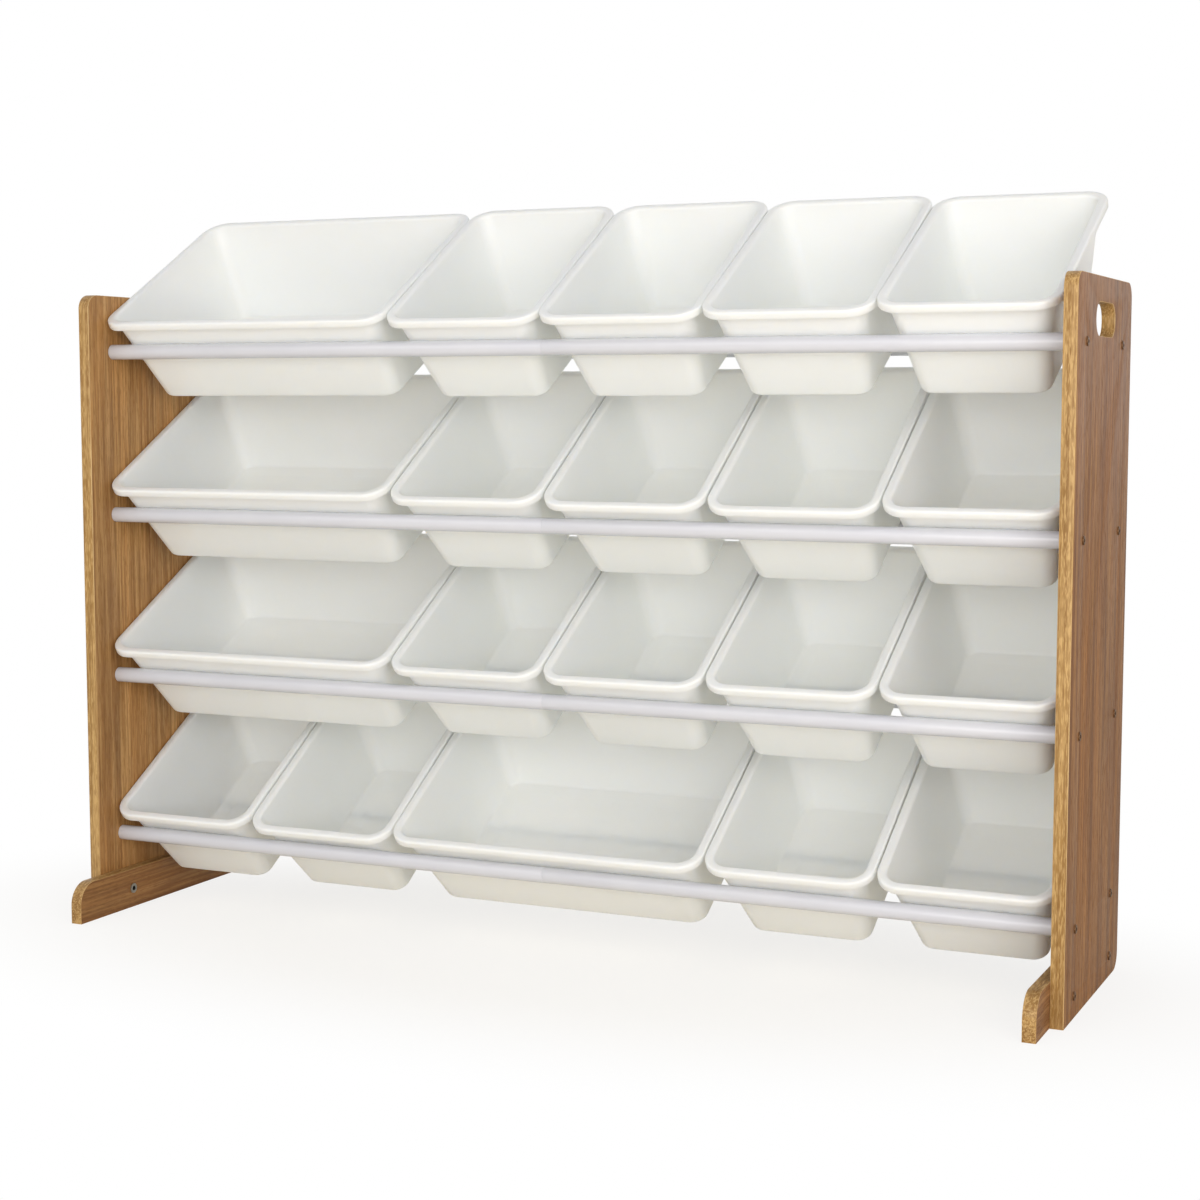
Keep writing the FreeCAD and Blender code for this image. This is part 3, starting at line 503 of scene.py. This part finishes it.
def mould_bin(width, length, depth):
    """One bin, level, with the middle of its rim's plane at the origin."""
    bpy.ops.object.select_all(action="DESELECT")
    bpy.ops.mesh.primitive_plane_add(size=1.0, enter_editmode=True)
    tub = bpy.context.object
    floor_level = WALL - depth

    # the rim: a plane with round corners, with the mouth inset in it
    bpy.ops.transform.resize(value=(width, length, 1.0), center_override=(0.0, 0.0, 0.0))
    bpy.ops.mesh.bevel(offset=RIM_CORNER_RADIUS, segments=RIM_CORNER_STEPS, affect="VERTICES")
    bpy.ops.mesh.select_all(action="SELECT")
    bpy.ops.mesh.inset(thickness=RIM_WIDTH, use_even_offset=True)

    # the mouth pushed down into a floor, which is drawn in; then the sunk panel in the floor, from
    # two more such rings
    half_x, half_y = width / 2 - RIM_WIDTH, length / 2 - RIM_WIDTH
    for down, by_x, by_y in (
            (-floor_level, FLOOR_INSET_X - RIM_WIDTH, FLOOR_INSET_Y - RIM_WIDTH),
            (0.0, FLOOR_PANEL_INSET, FLOOR_PANEL_INSET),
            (FLOOR_PANEL_DROP, FLOOR_PANEL_STEP, FLOOR_PANEL_STEP)):
        bpy.ops.mesh.extrude_region_move(TRANSFORM_OT_translate={"value": (0.0, 0.0, -down)})
        bpy.ops.transform.resize(value=(1 - by_x / half_x, 1 - by_y / half_y, 1.0),
                                 center_override=(0.0, 0.0, 0.0))
        half_x, half_y = half_x - by_x, half_y - by_y

    # the lip, turned down from the rim's outer edge
    pick("EDGE", lambda edge: edge.is_boundary)
    bpy.ops.mesh.extrude_region_move(TRANSFORM_OT_translate={"value": (0.0, 0.0, -LIP_HEIGHT)})

    # rounded turns, where a flat meets a wall: the rim's outer edge, the mouth and the floor
    arc_x, arc_y = width / 2 - RIM_CORNER_RADIUS, length / 2 - RIM_CORNER_RADIUS

    def on_rim(spot):
        """Whether a point lies outside the mouth, seen from above."""
        if abs(spot.x) > arc_x and abs(spot.y) > arc_y:
            arc_centre = Vector((math.copysign(arc_x, spot.x), math.copysign(arc_y, spot.y)))
            return (spot.xy - arc_centre).length > RIM_CORNER_RADIUS - RIM_WIDTH + MM
        return (abs(spot.x) > width / 2 - RIM_WIDTH + MM
                or abs(spot.y) > length / 2 - RIM_WIDTH + MM)

    for height, outside, rounding in (
            (0.0, True, RIM_ROUNDING), (0.0, False, MOUTH_ROUNDING),
            (floor_level, False, FLOOR_ROUNDING)):
        def turn(edge):
            level = all(abs(vertex.co.z - height) < 0.01 * MM for vertex in edge.verts)
            lean = [abs(face.normal.z) for face in edge.link_faces]
            return (level and min(lean) < 0.9 < max(lean)
                    and on_rim(middle(edge)) == outside)

        pick("EDGE", turn)
        bpy.ops.mesh.bevel(offset=rounding, segments=TURN_STEPS, affect="EDGES")

    # rings round the walls, so that they stay smooth between the corners
    pick("EDGE", lambda edge: abs(edge.verts[0].co.z - edge.verts[1].co.z) > depth / 2)
    bpy.ops.mesh.subdivide(number_cuts=WALL_RINGS)
    bpy.ops.object.mode_set(mode="OBJECT")

    bpy.ops.object.modifier_add(type="SOLIDIFY")
    thickness = tub.modifiers[-1]
    thickness.thickness = WALL
    thickness.offset = -1.0
    thickness.use_even_offset = True
    bpy.ops.object.modifier_apply(modifier=thickness.name)
    bpy.ops.object.modifier_add(type="BEVEL")
    softening = tub.modifiers[-1]
    softening.width = LIP_EDGE
    softening.segments = 2
    softening.limit_method = "ANGLE"
    softening.angle_limit = math.radians(60)
    bpy.ops.object.modifier_apply(modifier=softening.name)
    bpy.ops.object.shade_smooth_by_angle(angle=math.radians(40))
    return tub


def moulded_polypropylene(name, colour, shade):
    """Polypropylene from a polished mould: milky, with a soft gloss; light spreads 6 mm inside it.

    The melt's flow leaves faint clouds a hand wide, and the mould a fine 0.8 mm grain.
    """
    material, shader = new_material(name)
    place = add_node(material, "ShaderNodeTexCoord")
    cloud = add_node(material, "ShaderNodeTexNoise", values={"Scale": 1 / (90 * MM), "Detail": 2.0},
                     links={"Vector": (place, "Object")})
    grain = add_node(material, "ShaderNodeTexNoise",
                     values={"Scale": 1 / (0.8 * MM), "Detail": 1.0},
                     links={"Vector": (place, "Object")})
    tint = add_node(material, "ShaderNodeMix", {"data_type": "RGBA"},
                    {6: linear(colour), 7: linear(shade)}, {0: (cloud, "Fac")})
    gloss = add_node(material, "ShaderNodeMapRange", values={"To Min": 0.30, "To Max": 0.38},
                     links={"Value": (cloud, "Fac")})
    bump = add_node(material, "ShaderNodeBump", values={"Strength": 0.1, "Distance": 0.02 * MM},
                    links={"Height": (grain, "Fac")})
    tree = material.node_tree
    tree.links.new(tint.outputs[2], shader.inputs["Base Color"])
    tree.links.new(gloss.outputs["Result"], shader.inputs["Roughness"])
    tree.links.new(bump.outputs["Normal"], shader.inputs["Normal"])
    shader.inputs["IOR"].default_value = 1.49
    shader.inputs["Subsurface Weight"].default_value = 0.9
    shader.inputs["Subsurface Radius"].default_value = (1.0, 0.92, 0.8)
    shader.inputs["Subsurface Scale"].default_value = 6 * MM
    return material


polypropylene = moulded_polypropylene("off_white_polypropylene", "#f8faf7", "#f3f6f2")
moulds = {}
for node in sorted(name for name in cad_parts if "_bin_" in name):
    tilt, low, high = own_place(node)
    kind = node.split("_")[0]
    if kind not in moulds:
        moulds[kind] = mould_bin(high.x - low.x, high.y - low.y, high.z - low.z)
        moulds[kind].data.materials.append(polypropylene)
    seat = Vector(((low.x + high.x) / 2, (low.y + high.y) / 2, high.z))
    piece = another(moulds[kind], node.replace("_bin_", "_tub_"),
                    Matrix.Rotation(tilt, 4, "X") @ Matrix.Translation(seat))
    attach(piece, node)
    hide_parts(node)
for mould in moulds.values():
    bpy.data.objects.remove(mould)


# ---- Floor, light and camera ------------------------------------------------------------------
# A pale floor that runs out to white, three large soft lamps, and the photograph's view.
FLOOR_SIZE = 40.0
FADE_SHAPE = (0.62, 1.15, 0.0)  # how fast the floor fades along X and Y, per metre
FADE_START = 0.24
FADE_END = 0.64
SHADOW_RELIEF = 0.74  # how white the floor is already under the organizer
WHITE = (1.0, 1.0, 1.0, 1.0)
ROOM_LIGHT = 0.48
CAMERA_PLACE = (1.0995, -2.3151, 0.6558)
CAMERA_YAW = math.radians(24.64)
CAMERA_PITCH = math.radians(-5.32)
FOCAL_PIXELS = 2147.4
IMAGE_PIXELS = 1200
SENSOR_WIDTH = 36.0

bpy.ops.object.select_all(action="DESELECT")
bpy.ops.mesh.primitive_grid_add(x_subdivisions=8, y_subdivisions=8, size=FLOOR_SIZE)
floor = bpy.context.object
floor.name = "studio_floor"
paper = bpy.data.materials.new("pale_studio_paper")
paper.use_nodes = True
paper.node_tree.nodes.clear()
floor_place = add_node(paper, "ShaderNodeTexCoord")
flattened = add_node(paper, "ShaderNodeMapping", values={"Scale": FADE_SHAPE},
                     links={"Vector": (floor_place, "Object")})
distance = add_node(paper, "ShaderNodeVectorMath", {"operation": "LENGTH"},
                    links={0: (flattened, "Vector")})
fade = add_node(paper, "ShaderNodeMapRange", {"interpolation_type": "SMOOTHSTEP"},
                {"From Min": FADE_START, "From Max": FADE_END, "To Min": SHADOW_RELIEF},
                {"Value": (distance, "Value")})
rays = add_node(paper, "ShaderNodeLightPath")
seen = add_node(paper, "ShaderNodeMath", {"operation": "MULTIPLY"},
                links={0: (fade, "Result"), 1: (rays, "Is Camera Ray")})
lit = add_node(paper, "ShaderNodeBsdfDiffuse", values={"Color": linear("#fff8ea")})
white = add_node(paper, "ShaderNodeEmission", values={"Color": WHITE})
blend = add_node(paper, "ShaderNodeMixShader",
                 links={0: (seen, "Value"), 1: (lit, "BSDF"), 2: (white, "Emission")})
add_node(paper, "ShaderNodeOutputMaterial", links={"Surface": (blend, "Shader")})
floor.data.materials.append(paper)

# the room's light; the eye, glossy and see-through surfaces meet plain white instead
world = bpy.data.worlds.new("studio")
bpy.context.scene.world = world
world.use_nodes = True
world.node_tree.nodes.clear()
rays = add_node(world, "ShaderNodeLightPath")
eye_or_gloss = add_node(world, "ShaderNodeMath", {"operation": "MAXIMUM"},
                        links={0: (rays, "Is Camera Ray"), 1: (rays, "Is Glossy Ray")})
seen = add_node(world, "ShaderNodeMath", {"operation": "MAXIMUM"},
                links={0: (eye_or_gloss, "Value"), 1: (rays, "Is Transmission Ray")})
strength = add_node(world, "ShaderNodeMapRange", values={"To Min": ROOM_LIGHT, "To Max": 1.0},
                    links={"Value": (seen, "Value")})
glow = add_node(world, "ShaderNodeBackground", values={"Color": WHITE},
                links={"Strength": (strength, "Result")})
add_node(world, "ShaderNodeOutputWorld", links={"Surface": (glow, "Background")})


def soft_lamp(name, place, aim, width, height, watts, colour):
    """A large rectangular lamp at a place, turned to its aim."""
    bpy.ops.object.select_all(action="DESELECT")
    bpy.ops.object.light_add(type="AREA", location=place)
    lamp = bpy.context.object
    lamp.name = name
    lamp.data.shape = "RECTANGLE"
    lamp.data.size = width
    lamp.data.size_y = height
    lamp.data.energy = watts
    lamp.data.color = linear(colour)[:3]
    lamp.rotation_euler = (Vector(aim) - Vector(place)).to_track_quat("-Z", "Y").to_euler()
    return lamp


soft_lamp("left_lamp", (-1.2, -3.1, 2.0), (0.0, 0.0, 0.5), 2.4, 1.4, 18, "#fffdf8")
soft_lamp("front_lamp", (1.0, -3.4, 0.9), (0.0, 0.0, 0.45), 2.4, 1.2, 36, "#fffdfa")
soft_lamp("right_lamp", (2.6, -2.3, 1.1), (0.0, 0.0, 0.4), 1.8, 1.8, 38, "#fffbf6")

bpy.ops.object.camera_add(location=CAMERA_PLACE,
                          rotation=(math.pi / 2 + CAMERA_PITCH, 0.0, CAMERA_YAW))
camera = bpy.context.object
camera.data.sensor_width = SENSOR_WIDTH
camera.data.lens = FOCAL_PIXELS / IMAGE_PIXELS * SENSOR_WIDTH
camera.data.clip_end = 100.0
bpy.context.scene.camera = camera
bpy.context.scene.view_settings.view_transform = "Standard"
